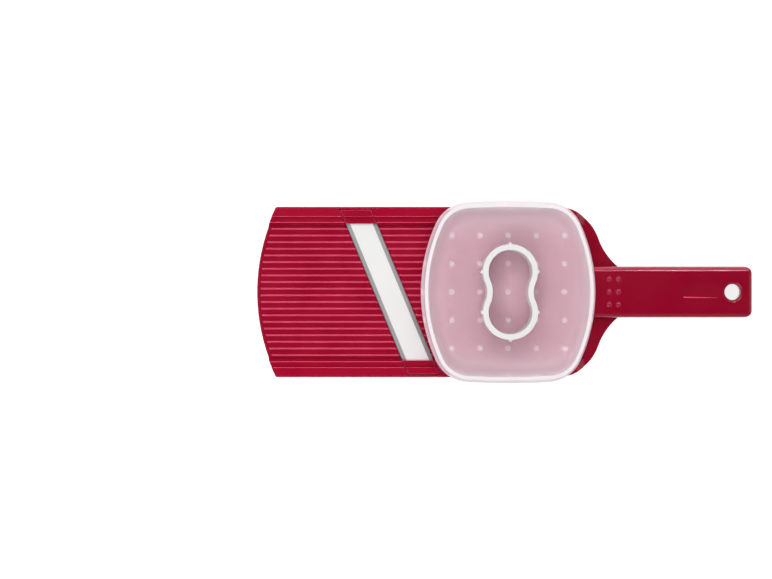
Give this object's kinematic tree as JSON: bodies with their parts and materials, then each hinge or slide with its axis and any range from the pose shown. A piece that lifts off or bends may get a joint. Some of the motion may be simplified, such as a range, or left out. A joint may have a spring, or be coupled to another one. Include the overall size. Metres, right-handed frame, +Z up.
{
  "type": "mandoline slicer",
  "caption": "Adjustable hand slicer with a ribbed deck, a slanted double-edged ceramic blade, a thickness adjuster, a hanging handle and a sliding translucent food guard.",
  "frame": {"origin": "on the surface that the slicer rests on, below the middle of its length and width", "axes": "+X along the slicer towards the handle, +Z up, +Y across it"},
  "size_m": [0.2732, 0.0996, 0.0434],
  "materials": {
    "body_plastic": "glossy moulded",
    "carrier_plastic": "glossy moulded",
    "foot_rubber": "soft matte",
    "blade_ceramic": "finely ground",
    "adjuster_plastic": "satin moulded",
    "steel": "plain",
    "guard_plastic": "translucent satin",
    "grip_plastic": "satin moulded"
  },
  "bodies": {
    "frame": {"main_frame": "body_plastic", "front_foot": "foot_rubber", "rear_feet": "foot_rubber", "bearing_cap_far": "adjuster_plastic", "bearing_cap_near": "adjuster_plastic", "bearing_screws": "steel", "click_spring": "steel", "spring_screw": "steel"},
    "adjuster": {"adjuster_bar": "adjuster_plastic", "cam_disc_far": "adjuster_plastic", "cam_disc_near": "adjuster_plastic"},
    "carrier": {"blade_carrier": "carrier_plastic", "blade": "blade_ceramic", "blade_clamp_far": "carrier_plastic", "blade_clamp_near": "carrier_plastic", "clamp_screws": "steel"},
    "guard": {"guard_tray": "guard_plastic", "guard_skirts": "guard_plastic", "guard_grip": "grip_plastic", "guard_pins": "grip_plastic"}
  },
  "joints": [
    {"name": "adjuster_turn", "type": "hinge", "parent": "frame", "child": "adjuster", "pos_m": [-0.06315, 0, 0.00733], "axis": [-0.3827, 0.9239, 0], "range_deg": [0, 270]},
    {"name": "blade_lift", "type": "slide", "parent": "frame", "child": "carrier", "axis": [0, 0, 1], "range_m": [0, 0.0025]},
    {"name": "guard_slide", "type": "slide", "parent": "frame", "child": "guard", "axis": [-1, 0, 0], "range_m": [0, 0.085]}
  ],
  "couplings": [
    {"joint": "adjuster_turn", "follows": "blade_lift", "rad_per_m": 1884.9}
  ]
}
